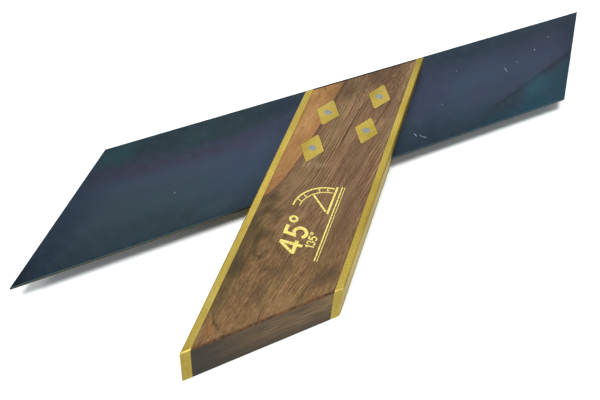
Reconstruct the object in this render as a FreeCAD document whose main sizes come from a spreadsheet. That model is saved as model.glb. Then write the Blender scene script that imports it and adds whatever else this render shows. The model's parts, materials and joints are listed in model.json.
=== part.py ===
import FreeCAD, Part
import math
import os

import Sketcher

# A fixed mitre square: a hardwood stock with brass facings on its two long edges, a spring steel
# blade through a slot in the stock at 45 degrees, and four rivets, each with a diamond plate at
# both ends. Lengths are in millimetres and angles in degrees. The origin is the centre of the
# stock's underside, +Y runs along the stock towards the blade and +Z is up.

SIZES = {
    "mitre_angle": 45,
    "stock_length": 141,
    "stock_width": 43.8,
    "stock_thickness": 17.6,
    "facing_thickness": 2.8,
    "end_round": 0.7,
    "edge_ease": 0.4,
    "blade_length": 254,
    "blade_width": 52.4,
    "blade_thickness": 1.2,
    "blade_ease": 0.12,
    "blade_projection": 8.3,
    "plate_length": 17.6,
    "plate_width": 10,
    "plate_thickness": 1.6,
    "plate_corner": 0.5,
    "rivet_diameter": 2.8,
    "rivet_flare": 0.2,
    "rivet_flare_depth": 0.6,
    "rivet_play": 0.02,
    "rivet_column": 9.1,
    "rivet_first_row": 22.9,
    "rivet_row_pitch": 23.2,
    "pin_diameter": 2,
    "pin_length": 10,
    "pin_end_margin": 18,
}

# Expressions that several parts share. A line parallel to the blade is named by the y at which
# it crosses the middle of the stock.
SLOPE = "tan(Sizes.mitre_angle)"
FAR_END = "Sizes.stock_length / 2"
NEAR_END = "-Sizes.stock_length / 2"
BLADE_TOP_LINE = f"({FAR_END} + Sizes.blade_projection / cos(Sizes.mitre_angle))"
BLADE_LOW_LINE = f"({BLADE_TOP_LINE} - Sizes.blade_width / cos(Sizes.mitre_angle))"
BLADE_TIP = "Sizes.blade_length * cos(Sizes.mitre_angle) / 2"
OUTER_FACE = "Sizes.stock_width / 2"
WOOD_FACE = "(Sizes.stock_width / 2 - Sizes.facing_thickness)"
MID_HEIGHT = "Sizes.stock_thickness / 2"
SLOT_FLOOR = "(Sizes.stock_thickness - Sizes.blade_thickness) / 2"
SLOT_ROOF = "(Sizes.stock_thickness + Sizes.blade_thickness) / 2"
HOLE_RADIUS = "Sizes.rivet_diameter / 2 + Sizes.rivet_play"
LOWER_LEG = f"{SLOT_FLOOR} / 2"
UPPER_LEG = f"(Sizes.stock_thickness + {SLOT_ROOF}) / 2"

SIDES = {"left": "-1", "right": "1"}

doc = FreeCAD.newDocument("MitreSquare")


def make_sheet():
    sheet = doc.addObject("Spreadsheet::Sheet", "Sizes")
    for row, (name, value) in enumerate(SIZES.items(), start=1):
        sheet.set(f"A{row}", name)
        sheet.set(f"B{row}", str(value))
        sheet.setAlias(f"B{row}", name)
    doc.recompute()


def rivet_places():
    """Expressions for the x and y of each rivet: two rows parallel to the blade."""
    places = []
    for row in range(2):
        for column in ("-", ""):
            x = f"{column}Sizes.rivet_column"
            drop = f"Sizes.rivet_first_row + {row} * Sizes.rivet_row_pitch"
            places.append((x, f"{FAR_END} - ({drop}) + ({x}) * {SLOPE}"))
    return places


def pin_places(side):
    """Expressions for the y and z of a facing's pins: two in the solid part, one in each leg."""
    shear = f"{SIDES[side]} * {OUTER_FACE} * {SLOPE}"
    return [
        (f"{NEAR_END} + Sizes.pin_end_margin + {shear}", MID_HEIGHT),
        (f"{BLADE_LOW_LINE} - Sizes.pin_end_margin + {shear}", MID_HEIGHT),
        (f"({BLADE_LOW_LINE} + {FAR_END}) / 2 + {shear}", LOWER_LEG),
        (f"({BLADE_LOW_LINE} + {FAR_END}) / 2 + {shear}", UPPER_LEG),
    ]


def new_body(name):
    body = doc.addObject("PartDesign::Body", name)
    body.Label = name
    return body


def new_sketch(body, name, plane, offset="0"):
    """Sketch parallel to one of the body's origin planes, moved along its normal."""
    sketch = body.newObject("Sketcher::SketchObject", name)
    support = next(item for item in body.Origin.OriginFeatures if item.Role == plane)
    sketch.AttachmentSupport = (support, "")
    sketch.MapMode = "FlatFace"
    sketch.setExpression("AttachmentOffset.Base.z", offset)
    return sketch


def bind(sketch, constraint, expression):
    index = sketch.addConstraint(constraint)
    sketch.setExpression(f"Constraints[{index}]", expression)


def pin_point(sketch, geometry, point, x, y):
    """Hold one point of the sketch at the given expressions, measured from its origin."""
    bind(sketch, Sketcher.Constraint("DistanceX", -1, 1, geometry, point, 1.0), x)
    bind(sketch, Sketcher.Constraint("DistanceY", -1, 1, geometry, point, 1.0), y)


def draw_polygon(sketch, corners):
    """Closed outline. It starts as a regular ring and the constraints set every corner."""
    count = len(corners)
    first = sketch.GeometryCount
    ring = [
        FreeCAD.Vector(math.cos(2 * math.pi * i / count), math.sin(2 * math.pi * i / count), 0)
        for i in range(count)
    ]
    for i in range(count):
        sketch.addGeometry(Part.LineSegment(ring[i], ring[(i + 1) % count]))
    for i in range(count):
        following = first + (i + 1) % count
        sketch.addConstraint(Sketcher.Constraint("Coincident", first + i, 2, following, 1))
    for i, (x, y) in enumerate(corners):
        pin_point(sketch, first + i, 1, x, y)


def draw_bar(sketch, left, right, low, high):
    """Bar with edges along Y at left and right, and ends parallel to the blade."""
    corners = [(left, low), (right, low), (right, high), (left, high)]
    draw_polygon(sketch, [(x, f"{line} + ({x}) * {SLOPE}") for x, line in corners])


def draw_diamond(sketch, x, y):
    half_width = "Sizes.plate_width / 2"
    half_length = "Sizes.plate_length / 2"
    draw_polygon(sketch, [
        (f"{x} + {half_width}", y),
        (x, f"{y} + {half_length}"),
        (f"{x} - {half_width}", y),
        (x, f"{y} - {half_length}"),
    ])


def draw_circle(sketch, x, y, radius):
    circle = sketch.addGeometry(Part.Circle(FreeCAD.Vector(0, 0, 0), FreeCAD.Vector(0, 0, 1), 1))
    pin_point(sketch, circle, 3, x, y)
    bind(sketch, Sketcher.Constraint("Radius", circle, 1.0), radius)


def pad(body, sketch, length):
    feature = body.newObject("PartDesign::Pad", f"{body.Name}_pad")
    feature.Profile = sketch
    feature.setExpression("Length", length)
    body.Tip = feature
    doc.recompute()
    return feature


def pocket(body, sketch, length, reverse=False):
    """Cut the sketch into the body, against its normal unless reversed."""
    before = body.Shape.Volume
    feature = body.newObject("PartDesign::Pocket", sketch.Name.replace("sketch", "pocket"))
    feature.Profile = sketch
    feature.Reversed = reverse
    feature.setExpression("Length", length)
    body.Tip = feature
    doc.recompute()
    if feature.Shape.Volume >= before:
        raise RuntimeError(f"{feature.Name} removes nothing")
    return feature


def dress(body, kind, name, base, edges, size):
    """Chamfer or fillet the base feature's edges."""
    feature = body.newObject(f"PartDesign::{kind}", f"{body.Name}_{name}")
    feature.Base = (base, edges)
    feature.setExpression("Size" if kind == "Chamfer" else "Radius", size)
    body.Tip = feature
    doc.recompute()
    return feature


def pick_edges(feature, wanted):
    """Names of the feature's straight edges whose two end points pass the test."""
    names = []
    for number, edge in enumerate(feature.Shape.Edges, start=1):
        if len(edge.Vertexes) == 2 and wanted(edge.Vertexes[0].Point, edge.Vertexes[1].Point):
            names.append(f"Edge{number}")
    return names


def is_upright(a, b):
    return abs(a.x - b.x) < 1e-6 and abs(a.y - b.y) < 1e-6


def is_crosswise(a, b):
    return abs(a.x - b.x) > 1e-6


def cut_blade_slot(body):
    """Slot at mid height, open at the far end, as deep as the blade's lower edge."""
    sketch = new_sketch(body, f"{body.Name}_slot_sketch", "XY_Plane", SLOT_ROOF)
    draw_bar(sketch, "-Sizes.stock_width", "Sizes.stock_width", BLADE_LOW_LINE, BLADE_TOP_LINE)
    return pocket(body, sketch, "Sizes.blade_thickness")


def cut_rivet_holes(body, top, depth):
    sketch = new_sketch(body, f"{body.Name}_rivet_sketch", "XY_Plane", top)
    for x, y in rivet_places():
        draw_circle(sketch, x, y, HOLE_RADIUS)
    return pocket(body, sketch, depth)


def cut_pin_holes(body, side, depth):
    """Blind holes for one facing's pins, drilled inwards from its outer face."""
    offset = f"{SIDES[side]} * {OUTER_FACE}"
    sketch = new_sketch(body, f"{body.Name}_{side}_pin_sketch", "YZ_Plane", offset)
    for y, z in pin_places(side):
        draw_circle(sketch, y, z, "Sizes.pin_diameter / 2")
    return pocket(body, sketch, depth, reverse=(side == "left"))


def cut_plate_recesses(body, face, height, reverse):
    sketch = new_sketch(body, f"{body.Name}_{face}_recess_sketch", "XY_Plane", height)
    for x, y in rivet_places():
        draw_diamond(sketch, x, y)
    return pocket(body, sketch, "Sizes.plate_thickness", reverse)


def make_stock():
    body = new_body("stock")
    sketch = new_sketch(body, "stock_sketch", "XY_Plane")
    draw_bar(sketch, f"-{WOOD_FACE}", WOOD_FACE, NEAR_END, FAR_END)
    block = pad(body, sketch, "Sizes.stock_thickness")
    dress(body, "Fillet", "end_round", block, pick_edges(block, is_crosswise), "Sizes.end_round")
    cut_blade_slot(body)
    cut_plate_recesses(body, "front", "Sizes.stock_thickness", False)
    recesses = cut_plate_recesses(body, "back", "0", True)
    depth = SIZES["plate_thickness"]
    corners = pick_edges(recesses, lambda a, b: is_upright(a, b) and abs((a - b).Length - depth) < 1e-6)
    dress(body, "Fillet", "recess_corner", recesses, corners, "Sizes.plate_corner")
    cut_rivet_holes(body, "Sizes.stock_thickness", "Sizes.stock_thickness")
    for side in SIDES:
        cut_pin_holes(body, side, "Sizes.pin_length")
    return body


def make_facing(side):
    body = new_body(f"{side}_facing")
    sketch = new_sketch(body, f"{side}_facing_sketch", "XY_Plane")
    draw_bar(sketch, f"{SIDES[side]} * {WOOD_FACE}", f"{SIDES[side]} * {OUTER_FACE}", NEAR_END, FAR_END)
    strip = pad(body, sketch, "Sizes.stock_thickness")
    rounded = dress(body, "Fillet", "end_round", strip, pick_edges(strip, is_crosswise), "Sizes.end_round")
    outer_face = SIZES["stock_width"] / 2 - 1e-6
    outside = pick_edges(rounded, lambda a, b: min(abs(a.x), abs(b.x)) > outer_face)
    dress(body, "Chamfer", "ease", rounded, outside, "Sizes.edge_ease")
    cut_blade_slot(body)
    cut_pin_holes(body, side, "Sizes.facing_thickness")
    return body


def make_blade():
    body = new_body("blade")
    sketch = new_sketch(body, "blade_sketch", "XY_Plane", SLOT_FLOOR)
    draw_bar(sketch, f"-{BLADE_TIP}", BLADE_TIP, BLADE_LOW_LINE, BLADE_TOP_LINE)
    plate = pad(body, sketch, "Sizes.blade_thickness")
    outline = pick_edges(plate, lambda a, b: not is_upright(a, b))
    dress(body, "Chamfer", "ease", plate, outline, "Sizes.blade_ease")
    cut_rivet_holes(body, SLOT_ROOF, "Sizes.blade_thickness")
    return body


def make_plate(name, place, face):
    """Diamond plate with a countersunk hole, lying flush in its recess."""
    body = new_body(name)
    sketch = new_sketch(body, f"{name}_sketch", "XY_Plane")
    draw_diamond(sketch, "0", "0")
    draw_circle(sketch, "0", "0", HOLE_RADIUS)
    diamond = pad(body, sketch, "Sizes.plate_thickness")
    corners = pick_edges(diamond, is_upright)
    rounded = dress(body, "Fillet", "corner", diamond, corners, "Sizes.plate_corner")
    depth = SIZES["plate_thickness"]
    mouth = [
        f"Edge{number}"
        for number, edge in enumerate(rounded.Shape.Edges, start=1)
        if edge.Closed and abs(edge.Vertexes[0].Z - depth) < 1e-6
    ]
    sink = dress(body, "Chamfer", "countersink", rounded, mouth, "Sizes.rivet_flare")
    sink.ChamferType = "Two distances"
    sink.setExpression("Size2", "Sizes.rivet_flare_depth")
    body.setExpression("Placement.Base.x", place[0])
    body.setExpression("Placement.Base.y", place[1])
    if face == "front":
        body.setExpression("Placement.Base.z", "Sizes.stock_thickness - Sizes.plate_thickness")
    else:
        body.Placement.Rotation = FreeCAD.Rotation(FreeCAD.Vector(1, 0, 0), 180)
        body.setExpression("Placement.Base.z", "Sizes.plate_thickness")
    return body


def make_rivet(name, place):
    """Rivet with a flared end at each face, filed flush with the plates."""
    body = new_body(name)
    sketch = new_sketch(body, f"{name}_sketch", "XZ_Plane")
    shank = "Sizes.rivet_diameter / 2"
    head = f"{shank} + Sizes.rivet_flare"
    top = "Sizes.stock_thickness"
    draw_polygon(sketch, [
        ("0", "0"),
        (head, "0"),
        (shank, "Sizes.rivet_flare_depth"),
        (shank, f"{top} - Sizes.rivet_flare_depth"),
        (head, top),
        ("0", top),
    ])
    turned = body.newObject("PartDesign::Revolution", f"{name}_turned")
    turned.Profile = sketch
    turned.ReferenceAxis = (sketch, ["V_Axis"])
    turned.Angle = 360
    body.Tip = turned
    body.setExpression("Placement.Base.x", place[0])
    body.setExpression("Placement.Base.y", place[1])
    return body


def make_pin(name, side, place):
    """Plain pin, driven inwards from the facing's outer face."""
    pin = doc.addObject("Part::Cylinder", name)
    pin.Label = name
    pin.setExpression("Radius", "Sizes.pin_diameter / 2")
    pin.setExpression("Height", "Sizes.pin_length")
    inner_end = f"{OUTER_FACE} - Sizes.pin_length" if side == "right" else f"-{OUTER_FACE}"
    pin.Placement.Rotation = FreeCAD.Rotation(FreeCAD.Vector(0, 1, 0), 90)
    pin.setExpression("Placement.Base.x", inner_end)
    pin.setExpression("Placement.Base.y", place[0])
    pin.setExpression("Placement.Base.z", place[1])
    return pin


def make_parts():
    parts = [make_stock(), make_facing("left"), make_facing("right"), make_blade()]
    for number, place in enumerate(rivet_places(), start=1):
        parts.append(make_plate(f"front_plate_{number}", place, "front"))
        parts.append(make_plate(f"back_plate_{number}", place, "back"))
        parts.append(make_rivet(f"rivet_{number}", place))
    for side in SIDES:
        for number, place in enumerate(pin_places(side), start=1):
            parts.append(make_pin(f"{side}_pin_{number}", side, place))
    return parts


def check_document():
    for item in doc.Objects:
        if "Invalid" in item.State or "Error" in item.State:
            raise RuntimeError(f"{item.Name} did not compute: {item.State}")


def write_parts(parts):
    os.makedirs("parts", exist_ok=True)
    for part in parts:
        if part.Shape.isNull() or not part.Shape.isValid() or len(part.Shape.Solids) != 1:
            raise RuntimeError(f"{part.Label} is not one valid solid")
        part.Shape.exportStep(f"parts/{part.Label}.step")


make_sheet()
assembly = make_parts()
doc.recompute()
check_document()
write_parts(assembly)
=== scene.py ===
import json
import math

import bmesh
import bpy
from mathutils import Matrix, Vector


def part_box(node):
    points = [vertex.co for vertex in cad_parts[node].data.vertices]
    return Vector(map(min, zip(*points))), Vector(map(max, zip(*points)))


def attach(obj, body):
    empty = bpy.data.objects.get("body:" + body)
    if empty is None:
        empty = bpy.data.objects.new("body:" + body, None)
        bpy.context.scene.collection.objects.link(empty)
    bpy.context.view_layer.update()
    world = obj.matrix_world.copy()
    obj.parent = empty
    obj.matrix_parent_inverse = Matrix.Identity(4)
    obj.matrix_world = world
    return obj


# A walnut and brass mitre square with a blued blade, lying on a pale floor under soft studio
# light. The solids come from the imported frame; this script gives them their materials, adds the
# gold foil mark on the stock and the scratches on the blade, and sets up the floor, lights and
# camera.

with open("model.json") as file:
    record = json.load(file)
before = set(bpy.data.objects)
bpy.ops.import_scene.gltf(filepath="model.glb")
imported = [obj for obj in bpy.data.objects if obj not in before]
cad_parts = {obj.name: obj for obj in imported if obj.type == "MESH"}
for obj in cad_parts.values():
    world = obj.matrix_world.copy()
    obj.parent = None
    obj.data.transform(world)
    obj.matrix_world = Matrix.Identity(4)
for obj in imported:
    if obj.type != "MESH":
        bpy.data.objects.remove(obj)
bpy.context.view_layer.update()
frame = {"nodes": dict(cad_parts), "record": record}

MM = 0.001
DIAGONAL = 1 / math.sqrt(2)


def box_mm(node):
    """Lowest and highest corners of a node, in millimetres."""
    low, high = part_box(node)
    return Vector(low) / MM, Vector(high) / MM


def centre_mm(node):
    low, high = box_mm(node)
    return (low + high) / 2


# Sizes in millimetres, read from the frame.
STOCK_LOW, STOCK_HIGH = box_mm("stock")
BLADE_LOW, BLADE_HIGH = box_mm("blade")
OUTER_FACE = box_mm("right_facing")[1].x
WOOD_FACE = STOCK_HIGH.x
TOP = STOCK_HIGH.z
PLATE_CENTRES = [centre_mm(f"front_plate_{number}") for number in range(1, 5)]
PLATE_LOW, PLATE_HIGH = box_mm("front_plate_1")

# The stock's ends run at 45 degrees too: y = x + NEAR_END and y = x + FAR_END.
NEAR_END = STOCK_LOW.y - STOCK_LOW.x
FAR_END = STOCK_HIGH.y - STOCK_HIGH.x

# The blade runs at 45 degrees, so its lower edge is the line y = x + BLADE_LINE, and a point's
# distance across the blade is (y - x - BLADE_LINE) * DIAGONAL.
BLADE_LINE = BLADE_LOW.y - BLADE_LOW.x
BLADE_WIDTH = (BLADE_HIGH.y - BLADE_HIGH.x - BLADE_LINE) * DIAGONAL


def srgb(red, green, blue, level=1.0):
    """Linear colour from 0 to 255 display values, scaled by a level."""
    def linear(value):
        value /= 255
        return level * (value / 12.92 if value <= 0.04045 else ((value + 0.055) / 1.055) ** 2.4)
    return (linear(red), linear(green), linear(blue), 1.0)


# The woods and the blued steel are given as they look in the picture. These levels turn what is
# seen under the studio lights into the surface's own colour.
WOOD_LEVEL = 0.66
STEEL_LEVEL = 1.09


def wood(red, green, blue):
    return srgb(red, green, blue, WOOD_LEVEL)


def steel(red, green, blue):
    return srgb(red, green, blue, STEEL_LEVEL)


class Graph:
    """A material with one Principled shader, and short calls for the nodes that feed it."""

    def __init__(self, name, **constants):
        self.material = bpy.data.materials.new(name)
        self.material.use_nodes = True
        self.tree = self.material.node_tree
        self.shader = next(n for n in self.tree.nodes if n.type == "BSDF_PRINCIPLED")
        for socket, value in constants.items():
            self.shader.inputs[socket.replace("_", " ")].default_value = value
        coordinates = self.tree.nodes.new("ShaderNodeTexCoord").outputs["Object"]
        self.point = self.scaled(coordinates, (1 / MM, 1 / MM, 1 / MM))
        self.x, self.y, self.z = self.split(self.point)

    def feed(self, node, index, value):
        if isinstance(value, bpy.types.NodeSocket):
            self.tree.links.new(value, node.inputs[index])
        else:
            node.inputs[index].default_value = value

    def link(self, socket, value):
        self.tree.links.new(value, self.shader.inputs[socket])

    def split(self, vector):
        node = self.tree.nodes.new("ShaderNodeSeparateXYZ")
        self.feed(node, 0, vector)
        return node.outputs[0], node.outputs[1], node.outputs[2]

    def join(self, x, y, z=0.0):
        node = self.tree.nodes.new("ShaderNodeCombineXYZ")
        for index, value in enumerate((x, y, z)):
            self.feed(node, index, value)
        return node.outputs[0]

    def scaled(self, vector, factors):
        node = self.tree.nodes.new("ShaderNodeVectorMath")
        node.operation = "MULTIPLY"
        self.feed(node, 0, vector)
        self.feed(node, 1, factors)
        return node.outputs[0]

    def math(self, operation, a, b=0.0):
        node = self.tree.nodes.new("ShaderNodeMath")
        node.operation = operation
        self.feed(node, 0, a)
        self.feed(node, 1, b)
        return node.outputs[0]

    def product(self, first, *factors):
        for factor in factors:
            first = self.math("MULTIPLY", first, factor)
        return first

    def sum(self, *terms):
        """Sum of (value, weight) pairs."""
        total = self.product(*terms[0])
        for term in terms[1:]:
            total = self.math("ADD", total, self.product(*term))
        return total

    def less(self, a, b):
        return self.math("SUBTRACT", a, b)

    def noise(self, scale, detail=2.0, roughness=0.5, distortion=0.0, vector=None):
        """Noise with the scale's number of features per millimetre along x, y and z."""
        node = self.tree.nodes.new("ShaderNodeTexNoise")
        place = self.point if vector is None else vector
        self.feed(node, "Vector", self.scaled(place, scale))
        node.inputs["Scale"].default_value = 1.0
        node.inputs["Detail"].default_value = detail
        node.inputs["Roughness"].default_value = roughness
        node.inputs["Distortion"].default_value = distortion
        return node.outputs["Fac"]

    def ease(self, value, start, end):
        """0 before start and 1 after end, with a smooth step between them."""
        node = self.tree.nodes.new("ShaderNodeMapRange")
        node.interpolation_type = "SMOOTHSTEP"
        for name, item in (("Value", value), ("From Min", start), ("From Max", end)):
            self.feed(node, name, item)
        return node.outputs["Result"]

    def blob(self, u, v, centre, radii, turn=0):
        """1 at the centre of an ellipse, falling to 0 at its rim. It turns by degrees."""
        du = self.less(u, centre[0])
        dv = self.less(v, centre[1])
        if turn:
            cosine, sine = math.cos(math.radians(turn)), math.sin(math.radians(turn))
            du, dv = self.sum((du, cosine), (dv, sine)), self.sum((dv, cosine), (du, -sine))
        du = self.math("DIVIDE", du, radii[0])
        dv = self.math("DIVIDE", dv, radii[1])
        return self.ease(self.math("SQRT", self.sum((du, du), (dv, dv))), 1.0, 0.0)

    def ridge(self, value, middle, width):
        """1 where the value is at the middle, 0 a width away on either side."""
        offset = self.math("ABSOLUTE", self.less(value, middle))
        return self.ease(offset, width, 0.0)

    def mix(self, factor, a, b, blend="MIX"):
        node = self.tree.nodes.new("ShaderNodeMix")
        node.data_type = "RGBA"
        node.blend_type = blend
        self.feed(node, 0, factor)
        self.feed(node, 6, a)
        self.feed(node, 7, b)
        return node.outputs[2]

    def tint(self, factor, colour, tint):
        """The colour multiplied by a tint, as far as the factor says."""
        return self.mix(factor, colour, (*tint, 1.0), "MULTIPLY")

    def ramp(self, factor, *stops):
        """Colour ramp through (position, colour) stops."""
        node = self.tree.nodes.new("ShaderNodeValToRGB")
        self.feed(node, 0, factor)
        ramp = node.color_ramp
        while len(ramp.elements) < len(stops):
            ramp.elements.new(0.5)
        for element, (position, colour) in zip(ramp.elements, stops):
            element.position = position
            element.color = colour
        return node.outputs[0]

    def bump(self, height, distance, strength=1.0):
        """Height from 0 to 1 raises the surface by up to the distance, in millimetres."""
        node = self.tree.nodes.new("ShaderNodeBump")
        node.inputs["Strength"].default_value = strength
        node.inputs["Distance"].default_value = distance * MM
        self.feed(node, "Height", height)
        self.link("Normal", node.outputs[0])

    def facing(self, axis, start, end):
        """1 on faces square to an axis, 0 on those along it; start and end are cosines."""
        normal = self.tree.nodes.new("ShaderNodeNewGeometry").outputs["Normal"]
        return self.ease(self.math("ABSOLUTE", self.split(normal)[axis]), start, end)

    def facing_up(self):
        """1 on level faces and 0 on upright ones."""
        return self.facing(2, 0.35, 0.75)


def plate_distance(graph):
    """1 on the outline of the nearest diamond plate, less inside it and more outside."""
    half_width = (PLATE_HIGH.x - PLATE_LOW.x) / 2
    half_length = (PLATE_HIGH.y - PLATE_LOW.y) / 2
    nearest = None
    for centre in PLATE_CENTRES:
        across = graph.math("ABSOLUTE", graph.less(graph.x, centre.x))
        along = graph.math("ABSOLUTE", graph.less(graph.y, centre.y))
        distance = graph.sum((across, 1 / half_width), (along, 1 / half_length))
        nearest = distance if nearest is None else graph.math("MINIMUM", nearest, distance)
    return nearest


def from_near_end(g):
    """Distance in from the stock's near end, in millimetres."""
    return g.product(g.sum((g.y, 1.0), (g.x, -1.0), (-NEAR_END, 1.0)), DIAGONAL)


def from_far_end(g):
    """Distance in from the stock's far end, in millimetres."""
    return g.product(g.sum((g.x, 1.0), (g.y, -1.0), (FAR_END, 1.0)), DIAGONAL)


# Patches in the wood: (x, y), radii across and along, turn in degrees, amount and colour.
WOOD_PATCHES = (
    ((-18.5, -44.0), (7.0, 36.0), 0, 0.60, (66, 58, 33)),
    ((-15.5, -16.5), (4.5, 8.0), -32, 0.75, (66, 56, 36)),
    ((-11.5, -8.0), (4.0, 8.0), 0, 0.40, (88, 72, 48)),
    ((-15.0, -23.0), (3.5, 8.0), -30, 0.70, (56, 50, 33)),
    ((-17.5, -31.0), (4.0, 8.0), 0, 0.50, (62, 56, 36)),
    ((-12.5, -35.0), (3.0, 8.0), -55, 0.65, (66, 56, 36)),
    ((-16.5, -50.0), (4.5, 8.0), 0, 0.70, (56, 52, 33)),
    ((-7.0, -40.0), (8.0, 22.0), 0, 0.25, (86, 70, 44)),
    ((-2.5, -47.0), (3.5, 12.0), -18, 0.55, (72, 58, 40)),
    ((-5.5, -60.0), (3.5, 10.0), -16, 0.50, (80, 64, 42)),
    ((14.0, -45.0), (4.0, 14.0), -20, 0.70, (72, 53, 40)),
    ((9.0, -56.0), (2.0, 9.0), -22, 0.45, (84, 64, 44)),
    ((16.5, -33.0), (3.5, 6.0), 0, 0.30, (122, 86, 60)),
    ((16.5, -42.0), (3.5, 7.0), 0, 0.55, (80, 66, 46)),
    ((-8.0, 2.0), (5.0, 9.0), 0, 0.45, (116, 92, 60)),
    ((2.0, -54.0), (3.0, 4.0), 0, 0.40, (154, 114, 88)),
    ((-18.0, -67.0), (4.0, 11.0), 0, 0.60, (70, 60, 36)),
    ((-16.8, -80.0), (2.6, 5.0), 0, 0.60, (160, 108, 54)),
    ((-15.8, -76.5), (1.0, 6.0), 40, 0.70, (58, 46, 30)),
    ((-17.0, -81.0), (0.7, 5.0), 40, 0.40, (84, 62, 38)),
    ((-10.5, -71.0), (1.2, 6.0), 28, 0.40, (80, 64, 42)),
    ((3.0, -61.0), (7.0, 9.0), 0, 0.45, (158, 124, 86)),
    ((-16.0, 31.0), (5.0, 18.0), 0, 0.55, (200, 156, 102)),
    ((9.5, 28.0), (6.0, 16.0), 0, 0.40, (92, 72, 52)),
    ((-4.0, 36.0), (5.0, 14.0), 0, 0.45, (98, 78, 52)),
    ((6.0, 70.0), (8.0, 11.0), 0, 0.60, (76, 58, 48)),
    ((-4.0, 60.0), (8.0, 12.0), 0, 0.50, (84, 65, 46)),
    ((-9.5, 50.0), (4.0, 22.0), 0, 0.35, (92, 74, 50)),
    ((10.0, 12.0), (6.0, 50.0), 0, 0.20, (92, 72, 52)),
    ((13.0, -12.0), (9.0, 26.0), 0, 0.40, (84, 64, 48)),
    ((8.0, -33.0), (8.0, 20.0), 0, 0.35, (84, 66, 46)),
    ((12.0, 78.0), (9.0, 14.0), 0, 0.45, (84, 62, 48)),
    ((3.0, 70.0), (9.0, 9.0), 0, 0.50, (86, 66, 46)),
    ((-4.0, 58.0), (8.0, 16.0), 0, 0.55, (86, 68, 46)),
    ((17.0, 42.0), (5.0, 30.0), 0, 0.40, (144, 114, 90)),
)


def ring_coordinate(g, wander):
    """0 on the sapwood's edge, growing by one each millimetre to the right."""
    # The edge is near x = -9 mm where the bend starts, and comes out at the left facing half way
    # down the stock.
    bend_start, bend_length = 56.0, 76.0
    run = g.math("DIVIDE", g.less(bend_start, g.y), bend_length)
    curl = g.math("MINIMUM", g.math("MAXIMUM", run, 0.0), 1.1)
    curve = g.sum((g.math("POWER", curl, 4.0), 6.2), (curl, -4.4))
    curve = g.product(curve, g.ease(g.x, 8.0, -10.0))
    swirl = g.blob(g.x, g.y, (-21.0, -40.0), (19.0, 30.0))
    return g.sum((g.x, 1.0), (run, 8.4), (curve, 1.0), (swirl, 3.0), (wander, 1.0), (9.0, 1.0))


def patched(g, colour, wander, cloud):
    """The colour with the wood's dark and pale patches, which have ragged rims."""
    drift = g.noise((0.2, 0.12, 0.2), detail=3.0, roughness=0.6)
    reach_x = g.sum((g.x, 1.0), (wander, 0.4), (g.less(drift, 0.5), 6.0))
    reach_y = g.sum((g.y, 1.0), (g.less(cloud, 0.5), 14.0))
    for centre, radii, turn, amount, shade in WOOD_PATCHES:
        place = g.product(g.blob(reach_x, reach_y, centre, radii, turn), amount)
        colour = g.mix(place, colour, wood(*shade))
    return colour


def end_grain(g, cloud):
    """Fine level lines, darker at the foot and by the left facing, with painted light high up by
    the right one.
    """
    layers = g.noise((0.06, 0.06, 1.4), detail=4.0, roughness=0.75, distortion=0.3)
    contrast = g.sum((g.ease(g.x, -8.0, 12.0), 0.4), (0.35, 1.0))
    tone = g.sum((g.less(layers, 0.5), contrast), (cloud, 0.2), (0.4, 1.0))
    low, middle, high = wood(64, 48, 29), wood(95, 73, 43), wood(124, 99, 60)
    colour = g.ramp(tone, (0.38, low), (0.5, middle), (0.62, high))
    colour = g.mix(g.product(g.ease(g.z, 10.0, 0.0), 0.68), colour, wood(48, 33, 17))
    colour = g.mix(g.product(g.ease(g.z, 1.6, 0.2), 0.6), colour, wood(26, 18, 10))
    # Painted light on the upper part of the end face, by the right facing.
    lit = g.product(g.ease(g.x, 8.0, 19.0), g.ease(g.z, 5.0, 14.0))
    colour = g.mix(g.product(lit, 0.33), colour, wood(154, 124, 74))
    colour = g.mix(g.product(g.ease(g.x, 2.0, -19.0), 0.85), colour, wood(34, 32, 22))
    plies = g.ramp(
        g.noise((0.12, 0.12, 1.3), detail=3.0, roughness=0.7, distortion=0.3),
        (0.36, (0.66, 0.66, 0.68, 1.0)),
        (0.5, (0.98, 0.98, 0.98, 1.0)),
        (0.64, (1.34, 1.3, 1.22, 1.0)),
    )
    return g.mix(1.0, colour, plies, "MULTIPLY")


def eased_ends(g, colour, up):
    """The colour with the ends' arrises: the near one warm with dark chips, the far one in painted
    shade.
    """
    arris = g.ease(up, 0.98, 0.6)
    rim = g.ease(g.z, TOP - 1.2, TOP - 0.4)
    from_end = from_near_end(g)
    near = g.math("MAXIMUM", g.ease(from_end, 0.9, 0.6), arris)
    near = g.product(near, g.ease(from_end, 4.0, 2.0), rim)
    colour = g.mix(g.product(near, 0.7), colour, wood(96, 60, 32))
    chips = g.ease(g.noise((0.5, 0.5, 0.3), detail=3.0, roughness=0.7), 0.5, 0.6)
    colour = g.mix(g.product(near, chips, 0.6), colour, wood(48, 32, 20))
    # Painted shade on the far arris, which faces away from the light.
    far = g.product(g.ease(from_far_end(g), 1.5, 0.7), rim)
    return g.mix(g.product(far, 0.95), colour, wood(20, 18, 12))


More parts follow.
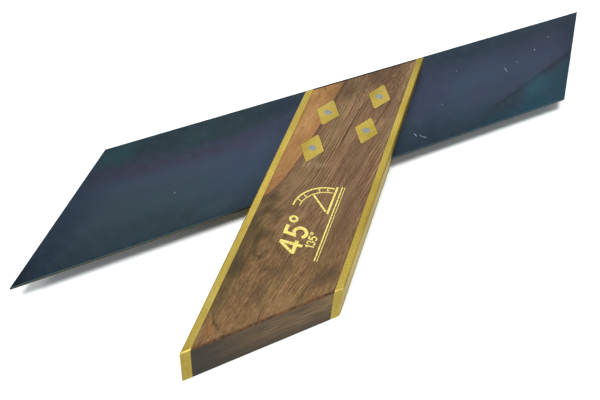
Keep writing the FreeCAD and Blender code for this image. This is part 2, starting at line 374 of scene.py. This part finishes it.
def walnut():
    """Dark walnut with rings that run up the stock, and pale sapwood along the left facing."""
    g = Graph("walnut", Specular_IOR_Level=0.14)
    warp = g.noise((0.05, 0.016, 0.05))
    waver = g.noise((0.16, 0.06, 0.16))
    wander = g.sum((g.less(warp, 0.5), 5.0), (g.less(waver, 0.5), 1.6))
    ring = ring_coordinate(g, wander)

    # The fibres ripple in the far corner.
    ripple = g.product(g.less(g.noise((0.45, 0.22, 0.45)), 0.5), g.ease(g.y, 30.0, 62.0))
    grain = g.join(g.sum((ring, 1.0), (ripple, 4.5)), g.y, g.z)
    broad = g.noise((0.35, 0.012, 0.3), vector=grain)
    streak = g.noise((1.0, 0.03, 1.0), detail=4.0, roughness=0.75, vector=grain)
    fine = g.noise((1.9, 0.045, 1.9), roughness=0.4, vector=grain)
    thin = g.noise((2.7, 0.06, 2.7), detail=1.0, roughness=0.4, vector=grain)
    fibre = g.noise((4.2, 0.16, 4.2), detail=3.0, roughness=0.65, vector=grain)
    dash = g.noise((1.9, 0.3, 1.9), detail=3.0, roughness=0.65, vector=grain)
    pores = g.noise((6.0, 0.45, 6.0), detail=1.0, vector=grain)
    cloud = g.noise((0.09, 0.035, 0.09), detail=3.0, distortion=0.6)

    # Growth rings: thin dark lines about 1.2 mm apart, which come and go.
    beat = g.math("SINE", g.sum((ring, 5.2), (ripple, 14.0), (streak, 4.0)))
    strength = g.ease(g.noise((0.5, 0.03, 0.5), detail=1.0, vector=grain), 0.35, 0.62)
    lines = g.sum((g.ease(beat, 0.0, 1.0), 1.0), (g.ease(beat, -0.2, -1.0), -0.6))

    # They and the streaks are bold in the far half, and give way to fine short lines in the near
    # half, about 0.8 mm apart.
    bold = g.ease(g.y, -22.0, 8.0)
    centre = g.product(g.ridge(g.x, 0.0, 11.0), bold, g.ease(g.y, 58.0, 42.0))
    lines = g.product(lines, strength, g.sum((bold, 0.055), (centre, 0.05), (0.015, 1.0)))
    close = g.math("SINE", g.sum((ring, 7.8), (dash, 4.0)))
    close = g.product(close, g.less(1.0, bold), g.ease(cloud, 0.42, 0.6))
    lines = g.sum((lines, 1.0), (close, 0.022))
    drawn = g.mix(bold, g.mix(0.3, dash, thin), g.mix(0.35, streak, fine))
    drawn = g.product(g.less(drawn, 0.5), g.sum((bold, 0.12), (0.36, 1.0)))

    plain = g.less(1.0, g.product(g.ease(g.y, -10.0, -50.0), 0.85))
    swell = g.product(g.sum((broad, 0.22), (cloud, 0.16), (-0.19, 1.0)), plain)
    tone = g.sum((swell, 1.0), (drawn, 1.0), (fibre, 0.14), (lines, -1.0), (0.43, 1.0))
    heart = g.ramp(
        tone,
        (0.36, wood(74, 53, 36)),
        (0.44, wood(106, 80, 56)),
        (0.51, wood(131, 103, 74)),
        (0.58, wood(156, 127, 92)),
    )

    low, middle, high = wood(146, 102, 60), wood(168, 124, 74), wood(184, 144, 90)
    sap_tone = g.sum((streak, 0.35), (fibre, 0.25), (cloud, 0.4))
    sap = g.ramp(sap_tone, (0.38, low), (0.5, middle), (0.62, high))
    sap = g.mix(g.product(g.ease(g.y, 20.0, -14.0), 0.5), sap, wood(142, 98, 62))
    colour = g.mix(g.ease(ring, 0.35, -0.35), heart, sap)

    # The heartwood drifts between red and olive brown, and turns more golden in the near half.
    hue = g.noise((0.2, 0.02, 0.2), vector=grain)
    colour = g.tint(g.product(g.ease(hue, 0.44, 0.62), 0.8), colour, (1.04, 0.96, 0.99))
    colour = g.tint(g.product(g.ease(hue, 0.5, 0.34), 0.8), colour, (0.95, 1.0, 0.9))
    colour = g.tint(g.ease(g.y, -5.0, -45.0), colour, (1.0, 1.01, 0.86))
    colour = patched(g, colour, wander, cloud)

    # A dark line on the sapwood's edge.
    edge_line = g.product(g.ridge(ring, 0.35, 0.6), g.ease(g.x, -4.0, -8.0))
    colour = g.mix(g.product(edge_line, 0.6), colour, wood(60, 46, 28))

    # Smoky figure beside the left facing.
    smoke = g.noise((0.10, 0.07, 0.10), detail=3.0, roughness=0.55, distortion=1.2)
    smoke_place = g.blob(g.x, g.y, (-12.0, -40.0), (20.0, 40.0))
    smoke_amount = g.product(g.ease(smoke, 0.46, 0.6), smoke_place, 0.75)
    colour = g.mix(smoke_amount, colour, wood(68, 58, 36))

    up = g.facing_up()
    colour = g.mix(up, end_grain(g, cloud), colour)
    colour = eased_ends(g, colour, up)

    # A faint scuff below the third plate.
    scuff_line = g.sum((g.y, 1.0), (g.x, -0.32))
    scuff = g.blob(g.x, scuff_line, (-5.0, 8.2), (9.0, 3.4))
    scuff = g.product(scuff, g.ease(dash, 0.38, 0.58), 0.5)
    colour = g.mix(scuff, colour, wood(176, 158, 122))

    # Open pores, and fibres that catch the light.
    flecks = g.product(g.ease(pores, 0.43, 0.28), up, 0.55)
    colour = g.mix(flecks, colour, wood(46, 33, 22))
    sheen = g.product(g.ease(fibre, 0.58, 0.78), up, 0.4)
    colour = g.mix(sheen, colour, wood(190, 158, 112))

    # Dark lines in the joints with the facings and round the plates.
    joint = g.product(g.ease(g.math("ABSOLUTE", g.x), WOOD_FACE - 0.4, WOOD_FACE), 0.7)
    inlay = g.ridge(plate_distance(g), 1.0, 0.1)
    dark_joints = g.product(g.math("MAXIMUM", joint, inlay), up, 0.85)
    colour = g.mix(dark_joints, colour, wood(44, 32, 20))

    g.link("Base Color", colour)
    g.link("Roughness", g.sum((streak, 0.2), (flecks, 0.3), (0.38, 1.0)))
    g.bump(g.sum((fibre, 0.5), (flecks, -1.0), (0.5, 1.0)), 0.06, 0.5)
    return g.material


def brass(name, lines, tone=(1.0, 1.0, 1.0)):
    """Satin brass with fine lines, given as their number per millimetre along x, y and z."""
    g = Graph(name, Metallic=1.0, Specular_Tint=(0.90, 0.89, 0.86, 1.0))
    cloud = g.noise((0.12, 0.05, 0.12), detail=3.0)
    brushed = g.noise(lines, detail=3.0, roughness=0.6)
    speckle = g.noise((2.2, 2.2, 2.2))
    value = g.sum((cloud, 0.35), (brushed, 0.3), (speckle, 0.35))
    low, middle, high = srgb(178, 152, 66), srgb(205, 181, 86), srgb(222, 200, 110)
    colour = g.ramp(value, (0.38, low), (0.5, middle), (0.62, high))
    colour = g.tint(1.0, colour, tone)
    # Painted reflection on the top: it darkens towards the far end, and it is brightest half way
    # along the left facing.
    far = g.product(g.ease(from_far_end(g), 22.0, 4.0), g.ease(g.x, -40.0, 10.0), 0.28)
    colour = g.mix(far, colour, srgb(40, 34, 12))
    left_sheen = g.product(g.ease(g.x, -17.0, -19.0), g.ridge(g.y, -10.0, 46.0))
    colour = g.tint(left_sheen, colour, (1.12, 1.12, 1.14))
    # Painted shade along the middle of the right facing's top.
    right_shade = g.product(g.ease(g.x, 17.0, 19.0), g.ridge(g.y, 2.0, 60.0))
    colour = g.tint(right_shade, colour, (0.86, 0.85, 0.78))
    # Painted shade: the long upright faces are darker than the linished top, and the sawn ends
    # darker still.
    upright = g.less(1.0, g.facing_up())
    sawn = g.product(upright, g.facing(1, 0.3, 0.6))
    colour = g.tint(upright, colour, (0.64, 0.62, 0.48))
    # Painted reflection and shade on the long sides: they are paler along the middle, and darken
    # to the arris, the foot and the near end.
    across = g.math("ABSOLUTE", g.x)
    outer = g.ease(across, OUTER_FACE - 0.5, OUTER_FACE - 0.2)
    outer = g.product(outer, g.less(1.0, g.facing(1, 0.2, 0.4)))
    colour = g.tint(outer, colour, (1.07, 1.07, 1.12))
    for place, tint in (
        (g.ease(g.z, 11.0, 17.0), (0.70, 0.62, 0.26)),
        (g.ease(g.z, 9.0, 3.0), (0.73, 0.75, 0.62)),
        (g.ease(g.z, 4.0, 0.5), (0.75, 0.74, 0.70)),
        (g.ease(from_near_end(g), 12.0, 2.0), (0.77, 0.76, 0.70)),
    ):
        colour = g.tint(g.product(outer, place), colour, tint)
    # A painted highlight along the arris of the sawn ends.
    arris_highlight = g.less(g.facing(2, 0.3, 0.5), g.facing(2, 0.85, 0.97))
    arris_highlight = g.product(arris_highlight, g.facing(1, 0.2, 0.4))
    colour = g.mix(g.product(arris_highlight, 0.35), colour, srgb(250, 226, 130))
    grooves = g.noise((2.4, 2.4, 0.1), detail=3.0, roughness=0.6)
    # A little more painted shade on the sawn ends, then stains along their grooves.
    colour = g.tint(sawn, colour, (0.92, 0.93, 0.97))
    stain = g.product(sawn, g.ease(grooves, 0.42, 0.66), 0.6)
    colour = g.tint(stain, colour, (0.74, 0.70, 0.62))
    g.link("Base Color", colour)
    g.link("Roughness", g.sum((brushed, 0.22), (speckle, 0.14), (upright, 0.1), (0.2, 1.0)))
    g.bump(brushed, 0.012, 0.6)
    return g.material


# Smaller tints on the blade: (along, across), radii, amount and colour.
BLADE_TINTS = (
    ((-85.0, 48.0), (13.0, 9.0), 0.85, (48, 76, 84)),
    ((-58.0, 44.0), (10.0, 9.0), 0.55, (50, 72, 78)),
    ((-70.0, 20.0), (26.0, 17.0), 0.40, (60, 78, 82)),
    ((-52.0, 15.0), (22.0, 14.0), 0.35, (60, 80, 86)),
    ((-57.0, 7.0), (15.0, 7.5), 0.45, (56, 62, 60)),
    ((-60.0, 3.0), (36.0, 8.0), 0.45, (58, 76, 86)),
    ((-45.0, 3.0), (12.0, 5.0), 0.45, (54, 64, 60)),
    ((-36.0, 20.0), (12.0, 26.0), 0.35, (58, 74, 98)),
    ((-37.0, 32.0), (6.0, 12.0), 0.25, (70, 62, 88)),
    ((-32.0, 48.0), (12.0, 8.0), 0.40, (38, 47, 72)),
    ((-36.0, 5.0), (9.0, 6.0), 0.35, (72, 88, 92)),
    ((-25.0, 28.0), (7.0, 34.0), 0.35, (48, 58, 76)),
    ((-85.0, 16.0), (10.0, 26.0), 0.55, (46, 60, 78)),
    ((-89.0, 1.0), (7.0, 8.0), 0.75, (30, 40, 45)),
    ((30.0, 28.0), (12.0, 24.0), 0.50, (60, 60, 86)),
    ((48.0, 28.0), (24.0, 20.0), 0.30, (62, 78, 100)),
    ((33.0, 7.0), (16.0, 14.0), 0.50, (44, 54, 68)),
    ((52.0, 18.0), (10.0, 8.0), 0.25, (74, 64, 90)),
    ((74.0, 40.0), (12.0, 9.0), 0.30, (68, 62, 88)),
    ((54.0, 1.0), (32.0, 7.0), 0.40, (36, 58, 68)),
    ((76.0, 13.0), (10.0, 9.0), 0.50, (46, 94, 108)),
    ((72.0, 1.5), (26.0, 7.0), 0.45, (27, 72, 90)),
    ((58.0, 53.0), (42.0, 8.0), 0.45, (40, 57, 71)),
    ((91.0, 28.0), (10.0, 44.0), 0.50, (33, 52, 68)),
)


def blued_steel():
    """Heat blued spring steel: slate blue with purple and teal tints along and across it."""
    g = Graph("blued_steel", Metallic=1.0)
    wander = g.noise((0.06, 0.06, 0.06), detail=3.0)
    drift = g.product(g.less(wander, 0.5), 9.0)
    level = g.product(g.less(g.less(g.y, g.x), BLADE_LINE), DIAGONAL)
    across = g.math("ADD", level, drift)
    along = g.less(g.x, drift)

    # Across the blade, from its lower edge: dark at both edges and palest at the middle.
    share = g.math("DIVIDE", level, BLADE_WIDTH)
    slate = g.ramp(
        share,
        (0.0, steel(44, 58, 68)),
        (0.12, steel(53, 66, 77)),
        (0.3, steel(62, 75, 88)),
        (0.55, steel(66, 77, 94)),
        (0.72, steel(60, 69, 85)),
        (0.88, steel(49, 61, 72)),
        (1.0, steel(49, 66, 75)),
    )
    ends = g.ease(g.math("ABSOLUTE", g.x), 76.0, 92.0)
    colour = g.mix(g.product(ends, 0.45), slate, steel(42, 54, 68))

    # Left of the stock: a purple band that sags in the middle, under a dark teal top edge.
    left_half = g.ease(along, -26.0, -36.0)
    sag = g.math("DIVIDE", g.math("MAXIMUM", g.less(-58.0, along), 0.0), 26.0)
    crest = g.sum((g.math("POWER", sag, 1.5), 6.0), (33.0, 1.0))
    above = g.less(across, crest)
    upper = g.product(g.ease(above, 2.0, 9.0), left_half, 0.6)
    colour = g.mix(upper, colour, steel(46, 61, 65))
    patchy = g.noise((0.2, 0.2, 0.2), detail=4.0, roughness=0.6)
    band = g.sum((g.ease(patchy, 0.36, 0.62), 0.32), (0.12, 1.0))
    band = g.product(band, g.ridge(above, 1.5, 6.5), left_half)
    colour = g.mix(band, colour, steel(68, 52, 74))

    # Right of the stock: a little darker and bluer, with a dark line that climbs to the tip, and
    # dark green and teal below it.
    colour = g.tint(g.ease(g.x, 10.0, 34.0), colour, (0.84, 0.9, 0.99))
    below = g.sum((g.x, 0.6), (patchy, 3.0), (level, -1.0), (-28.1, 1.0))
    right_half = g.ease(along, 54.0, 62.0)
    green = g.product(g.ease(below, -1.0, 2.0), right_half, 0.6)
    colour = g.mix(green, colour, steel(43, 59, 67))
    corner = g.product(g.ease(below, 1.0, 8.0), g.ease(along, 64.0, 76.0), 0.8)
    colour = g.mix(corner, colour, steel(42, 73, 86))
    front = g.product(g.ridge(below, 0.3, 2.4), right_half, 0.8)
    colour = g.mix(front, colour, steel(42, 52, 60))
    blush = g.product(g.ridge(below, -3.5, 4.5), right_half, 0.2)
    colour = g.mix(blush, colour, steel(74, 60, 86))

    for centre, radii, amount, tint in BLADE_TINTS:
        place = g.product(g.blob(along, across, centre, radii), amount)
        colour = g.mix(place, colour, steel(*tint))

    mottle = g.noise((0.22, 0.22, 0.22), detail=4.0, roughness=0.6)
    colour = g.mix(g.product(g.ease(mottle, 0.4, 0.75), 0.18), colour, steel(80, 90, 106))
    lengthways = g.product(g.math("ADD", g.x, g.y), DIAGONAL)
    rolled = g.noise((0.06, 3.5, 1.0), detail=3.0, vector=g.join(lengthways, level))

    # The narrow ground edges have no blue left on them, and their arrises carry a painted
    # highlight.
    edge = g.less(1.0, g.facing_up())
    edge_colour = g.mix(g.ease(g.x, 10.0, -10.0), steel(38, 46, 50), steel(64, 58, 42))
    colour = g.mix(g.product(edge, 0.85), colour, edge_colour)
    arris_highlight = g.less(g.facing(2, 0.4, 0.6), g.facing(2, 0.8, 0.95))
    colour = g.mix(g.product(arris_highlight, 0.55), colour, steel(66, 112, 122))

    g.link("Base Color", colour)
    g.link("Roughness", g.sum((rolled, 0.16), (mottle, 0.14), (0.27, 1.0)))
    g.bump(rolled, 0.006, 0.5)
    return g.material


def rivet_steel():
    """Bright mild steel, filed flush: grey with file marks."""
    g = Graph("rivet_steel", Metallic=1.0)
    filed = g.noise((0.7, 7.0, 0.7), detail=3.0)
    mottle = g.noise((1.2, 1.2, 1.2), detail=3.0)
    tone = g.sum((filed, 0.5), (mottle, 0.5))
    g.link("Base Color", g.ramp(tone, (0.36, srgb(108, 116, 116)), (0.6, srgb(176, 182, 176))))
    g.link("Roughness", g.sum((filed, 0.25), (0.25, 1.0)))
    g.bump(filed, 0.02, 0.5)
    return g.material


def gold_foil():
    """Hot stamped foil, with slight wear."""
    g = Graph("gold_foil", Metallic=0.6)
    wear = g.noise((1.6, 1.6, 1.6), detail=3.0)
    low, middle, high = srgb(190, 170, 88), srgb(236, 222, 118), srgb(246, 236, 150)
    g.link("Base Color", g.ramp(wear, (0.34, low), (0.5, middle), (0.7, high)))
    g.link("Roughness", g.sum((wear, 0.3), (0.3, 1.0)))
    g.bump(wear, 0.01, 0.4)
    return g.material


def dress_frame():
    """Give every CAD node its material."""
    by_slot = {
        "walnut": walnut(),
        "facing_brass": brass("facing_brass", (9.0, 0.12, 9.0)),
        "plate_brass": brass("plate_brass", (1.0, 6.0, 1.0), tone=(0.95, 0.94, 0.94)),
        "pin_brass": brass("pin_brass", (9.0, 0.12, 9.0), tone=(0.92, 0.9, 0.86)),
        "blued_steel": blued_steel(),
        "rivet_steel": rivet_steel(),
    }
    slots = {row["node"]: row["material_slot"] for row in frame["record"]["subparts"]}
    for name, node in frame["nodes"].items():
        material = by_slot[slots[name]]
        if not node.material_slots:
            node.data.materials.append(material)
        for slot in node.material_slots:
            slot.material = material


# The mark is generic: the tool's two angles in numerals, beside a small protractor. It reads
# along +Y from y = MARK_START, and its heights are measured from x = MARK_FOOT towards -X.
MARK_START = -40.5
MARK_FOOT = 7.4
FOIL_TOP = TOP + 0.02
FOIL_DEPTH = 0.05
RULE_LENGTH = 39.0

# How far each figure takes the writing on, for a height of 1.
FIGURE_STEPS = {"1": 0.48, "3": 0.70, "4": 0.90, "5": 0.78, "\u00b0": 0.4}


def arc(centre, radius, start, end, steps=24):
    """Points on an arc, from a start to an end angle in degrees."""
    angles = [math.radians(start + (end - start) * i / steps) for i in range(steps + 1)]
    return [(centre[0] + radius * math.cos(a), centre[1] + radius * math.sin(a)) for a in angles]


def stroke(points, width):
    """Outline of a line of even width through the points."""
    left, right = [], []
    for index, point in enumerate(points):
        before = points[max(index - 1, 0)]
        after = points[min(index + 1, len(points) - 1)]
        first = Vector(point) - Vector(before)
        second = Vector(after) - Vector(point)
        first = (first if first.length else second).normalized()
        second = (second if second.length else first).normalized()
        middle = (first + second).normalized()
        spread = width / 2 / max(middle.dot(first), 0.4)
        side = Vector((-middle.y, middle.x)) * spread
        left.append(tuple(Vector(point) + side))
        right.append(tuple(Vector(point) - side))
    return left + right[::-1]


def foil(name, material, outlines):
    """Thin solid of foil let into the stock, from outlines in (along, up) millimetres."""
    curve = bpy.data.curves.new(name, "CURVE")
    curve.dimensions = "2D"
    curve.fill_mode = "BOTH"
    curve.extrude = FOIL_DEPTH / 2
    for outline in outlines:
        spline = curve.splines.new("POLY")
        spline.points.add(len(outline) - 1)
        spline.use_cyclic_u = True
        for point, (along, up) in zip(spline.points, outline):
            point.co = (along, up, 0.0, 1.0)
    shape = bpy.data.objects.new(name, curve)
    solid = bmesh.new()
    solid.from_mesh(bpy.data.meshes.new_from_object(shape))
    bpy.data.objects.remove(shape)
    bmesh.ops.remove_doubles(solid, verts=solid.verts, dist=0.001)
    for vert in solid.verts:
        along, up, lift = vert.co
        height = FOIL_TOP - FOIL_DEPTH / 2 + lift
        vert.co = Vector((MARK_FOOT - up, MARK_START + along, height)) * MM
    bmesh.ops.recalc_face_normals(solid, faces=solid.faces)
    mesh = bpy.data.meshes.new(name)
    solid.to_mesh(mesh)
    solid.free()
    mesh.materials.append(material)
    piece = bpy.data.objects.new(name, mesh)
    bpy.context.collection.objects.link(piece)
    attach(piece, "root")


def numeral(figure, height, weight, start, foot):
    """Outlines of a figure, its left foot at (start, foot)."""
    def place(points):
        return [(start + along * height, foot + up * height) for along, up in points]

    thin = weight / height
    if figure == "1":
        return [stroke(place([(0.02, 0.76), (0.26, 0.95), (0.26, 0.0)]), weight)]
    if figure == "3":
        upper = arc((0.27, 0.74), 0.21, 160, -90, 16)
        lower = arc((0.27, 0.29), 0.24, 90, -155, 16)
        return [stroke(place(upper + lower), weight)]
    if figure == "4":
        stem, bar = 0.44, 0.22
        outer = [
            (stem, 0.0), (stem + thin, 0.0), (stem + thin, bar), (0.74, bar),
            (0.74, bar + thin), (stem + thin, bar + thin), (stem + thin, 1.0),
            (stem - 0.02, 1.0), (0.0, bar + thin), (0.0, bar), (stem, bar),
        ]
        hole = [(stem, bar + thin), (stem, 0.78), (thin * 1.05, bar + thin)]
        return [place(outer), place(hole)]
    if figure == "5":
        bowl = arc((0.31, 0.31), 0.27, 122, -150, 24)
        return [stroke(place([(0.58, 0.94), (0.14, 0.94), (0.10, 0.52)] + bowl), weight)]
    # The degree sign is a ring.
    middle, radius, reach = (0.19, 0.81), 0.15, thin * 0.35
    return [place(arc(middle, radius + side, 0, 345, 23)) for side in (reach, -reach)]


def write(name, material, text, height, weight, start, foot):
    """A row of figures in foil, one piece each."""
    for number, figure in enumerate(text, start=1):
        foil(f"{name}_{number}", material, numeral(figure, height, weight, start, foot))
        start += FIGURE_STEPS[figure] * height


def foil_mark():
    """The gold mark on the stock's top."""
    material = gold_foil()
    write("mark_large", material, "45\u00b0", height=8.6, weight=1.35, start=0.6, foot=5.0)
    write("mark_small", material, "135\u00b0", height=3.2, weight=0.52, start=5.2, foot=0.9)
    for number in (1, 2):
        rule = [(0.0, -number), (RULE_LENGTH, -number)]
        foil(f"mark_rule_{number}", material, [stroke(rule, 0.5 / number)])

    # Protractor: two arcs joined by marks every 15 degrees, a base, and a line at 45 degrees.
    corner = Vector((23.4, 0.8))
    outer, inner = 13.6, 11.2
    base = [corner, corner + Vector((outer + 1.2, 0.0))]
    foil("mark_base", material, [stroke(base, 0.8)])
    foil("mark_outer_arc", material, [stroke(arc(corner, outer, 2.8, 90, 32), 0.6)])
    foil("mark_inner_arc", material, [stroke(arc(corner, inner, 3.2, 87, 32), 0.4)])
    for number in range(1, 6):
        turn = math.radians(15 * number)
        line = Vector((math.cos(turn), math.sin(turn)))
        if number == 3:
            ray = [corner + line * 1.3, corner + line * (inner - 0.4)]
            foil("mark_ray", material, [stroke(ray, 0.8)])
        else:
            ends = [corner + line * (inner + 0.4), corner + line * (outer - 0.5)]
            foil(f"mark_division_{number}", material, [stroke(ends, 0.45)])


# Bright scratches on the blade: x, distance across, length, turn from +X in degrees.
SCRATCHES = (
    (60.3, 28.4, 3.8, -54),
    (64.8, 30.8, 1.0, -40),
    (71.9, 35.3, 1.7, -70),
    (77.2, 41.0, 1.2, -60),
    (28.7, 7.6, 3.0, -46),
    (31.0, 6.2, 1.0, -40),
    (32.6, 4.9, 2.8, 8),
    (36.0, 19.7, 0.6, -57),
    (38.0, 36.8, 0.6, -50),
    (-54.4, 18.6, 1.0, -60),
)
SCRATCH_WIDTH = 0.28
SCRATCH_DEPTH = 0.04
SCRATCH_LIFT = 0.012


def blade_scratches():
    """Slivers of bared steel, let into the blade's top face."""
    g = Graph("bared_steel", Metallic=1.0)
    shine = g.noise((1.5, 1.5, 1.5), detail=3.0)
    g.link("Base Color", g.ramp(shine, (0.35, srgb(176, 180, 176)), (0.65, srgb(224, 228, 222))))
    g.link("Roughness", g.sum((shine, 0.3), (0.25, 1.0)))
    g.bump(shine, 0.01, 0.4)

    shape = bmesh.new()
    for x, across, length, turn in SCRATCHES:
        middle = Vector((x, x + BLADE_LINE + across / DIAGONAL, BLADE_HIGH.z))
        turn = math.radians(turn)
        run = Vector((math.cos(turn), math.sin(turn), 0.0)) * length / 2
        side = Vector((-run.y, run.x, 0.0)).normalized() * SCRATCH_WIDTH / 2
        rim = [middle + run, middle + side, middle - run, middle - side]
        rows = []
        for lift in (-SCRATCH_DEPTH, SCRATCH_LIFT):
            rows.append([shape.verts.new((point + Vector((0, 0, lift))) * MM) for point in rim])
        low, high = rows
        shape.faces.new(high)
        shape.faces.new(low[::-1])
        for index in range(4):
            following = (index + 1) % 4
            shape.faces.new((low[index], low[following], high[following], high[index]))
    bmesh.ops.recalc_face_normals(shape, faces=shape.faces)
    mesh = bpy.data.meshes.new("blade_scratches")
    shape.to_mesh(mesh)
    shape.free()
    mesh.materials.append(g.material)
    piece = bpy.data.objects.new("blade_scratches", mesh)
    bpy.context.collection.objects.link(piece)
    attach(piece, "root")


# Half the floor's width, and how far it lies below the stock, in millimetres.
FLOOR_REACH = 3000.0
FLOOR_GAP = 0.02


def floor():
    """Pale paper, just clear of the underside."""
    g = Graph("floor_paper", Roughness=0.85)
    paper = g.noise((0.02, 0.02, 0.02), detail=3.0)
    g.link("Base Color", g.ramp(paper, (0.3, (0.84, 0.87, 0.87, 1)), (0.7, (0.87, 0.90, 0.90, 1))))
    g.bump(paper, 0.02, 0.2)
    half = FLOOR_REACH * MM
    low = (STOCK_LOW.z - FLOOR_GAP) * MM
    data = bpy.data.meshes.new("floor")
    corners = [(-half, -half, low), (half, -half, low), (half, half, low), (-half, half, low)]
    data.from_pydata(corners, [], [(0, 1, 2, 3)])
    data.materials.append(g.material)
    piece = bpy.data.objects.new("floor", data)
    bpy.context.collection.objects.link(piece)


# The distant lights' angular width in degrees, and how far off the panels stand in metres.
KEY_SPREAD = 18
PANEL_DISTANCE = 1.1

# The surroundings are white at the horizon, and fade to this share of it at this height and above,
# where 1 is straight up.
SKY_LIGHT = 0.38
SKY_START = 0.35


def key_light(name, direction, strength):
    """Distant soft light from a direction, wide enough to blur the shadow of the blade."""
    data = bpy.data.lights.new(name, "SUN")
    data.energy = strength
    data.angle = math.radians(KEY_SPREAD)
    lamp = bpy.data.objects.new(name, data)
    lamp.rotation_euler = Vector(direction).to_track_quat("Z", "Y").to_euler()
    bpy.context.collection.objects.link(lamp)


def panel_light(name, direction, size, watts):
    """Large reflector panel that faces the square, seen in its metal."""
    data = bpy.data.lights.new(name, "AREA")
    data.shape = "RECTANGLE"
    data.size, data.size_y = size
    data.energy = watts
    lamp = bpy.data.objects.new(name, data)
    lamp.location = Vector(direction).normalized() * PANEL_DISTANCE
    lamp.rotation_euler = lamp.location.to_track_quat("Z", "Y").to_euler()
    bpy.context.collection.objects.link(lamp)


def studio_world():
    """Pale surroundings, brightest at the horizon."""
    world = bpy.data.worlds.new("studio")
    world.use_nodes = True
    nodes, links = world.node_tree.nodes, world.node_tree.links
    direction = nodes.new("ShaderNodeTexCoord").outputs["Generated"]
    split = nodes.new("ShaderNodeSeparateXYZ")
    links.new(direction, split.inputs[0])
    fade = nodes.new("ShaderNodeMapRange")
    fade.interpolation_type = "SMOOTHSTEP"
    for name, value in (("From Max", SKY_START), ("To Min", 1.0), ("To Max", SKY_LIGHT)):
        fade.inputs[name].default_value = value
    links.new(split.outputs[2], fade.inputs["Value"])
    links.new(fade.outputs["Result"], nodes["Background"].inputs["Strength"])
    nodes["Background"].inputs["Color"].default_value = (1.0, 1.0, 1.0, 1.0)
    bpy.context.scene.world = world


def lights():
    """A bright world, two distant key lights and two panels; the floor burns out to white."""
    studio_world()
    key_light("left_key", (-0.66, -0.90, 1.0), 0.85)
    key_light("front_key", (0.04, -0.38, 1.0), 3.2)
    panel_light("back_panel", (-0.10, 0.75, 0.70), (1.0, 0.7), 1.5)
    panel_light("right_panel", (0.8, -0.3, 0.5), (0.9, 0.5), 1.4)
    bpy.context.scene.view_settings.view_transform = "Standard"


# The camera's place and lens, found from the square's own edges. Angles are in degrees, and the
# shifts are there because the picture's middle lies up and left of the lens axis.
CAMERA_AZIMUTH = 9.30
CAMERA_ELEVATION = 49.72
CAMERA_ROLL = 8.19
CAMERA_DISTANCE = 324.6
CAMERA_TARGET = (11.2, -11.7, 0.0)
CAMERA_LENS = 48.75
CAMERA_SHIFT = (-0.064, 0.061)


def camera():
    """Camera where the photographer stood."""
    azimuth = math.radians(CAMERA_AZIMUTH)
    elevation = math.radians(CAMERA_ELEVATION)
    roll = math.radians(CAMERA_ROLL)
    forward = Vector((
        -math.sin(azimuth) * math.cos(elevation),
        math.cos(azimuth) * math.cos(elevation),
        -math.sin(elevation),
    ))
    level = forward.cross(Vector((0, 0, 1))).normalized()
    lift = level.cross(forward)
    right = level * math.cos(roll) + lift * math.sin(roll)
    up = lift * math.cos(roll) - level * math.sin(roll)
    data = bpy.data.cameras.new("camera")
    data.lens = CAMERA_LENS
    data.clip_start = 0.01
    data.shift_x, data.shift_y = CAMERA_SHIFT
    view = bpy.data.objects.new("camera", data)
    turn = Matrix((right, up, -forward)).transposed()
    place = (Vector(CAMERA_TARGET) - forward * CAMERA_DISTANCE) * MM
    view.matrix_world = Matrix.Translation(place) @ turn.to_4x4()
    bpy.context.collection.objects.link(view)
    bpy.context.scene.camera = view


dress_frame()
foil_mark()
blade_scratches()
floor()
lights()
camera()
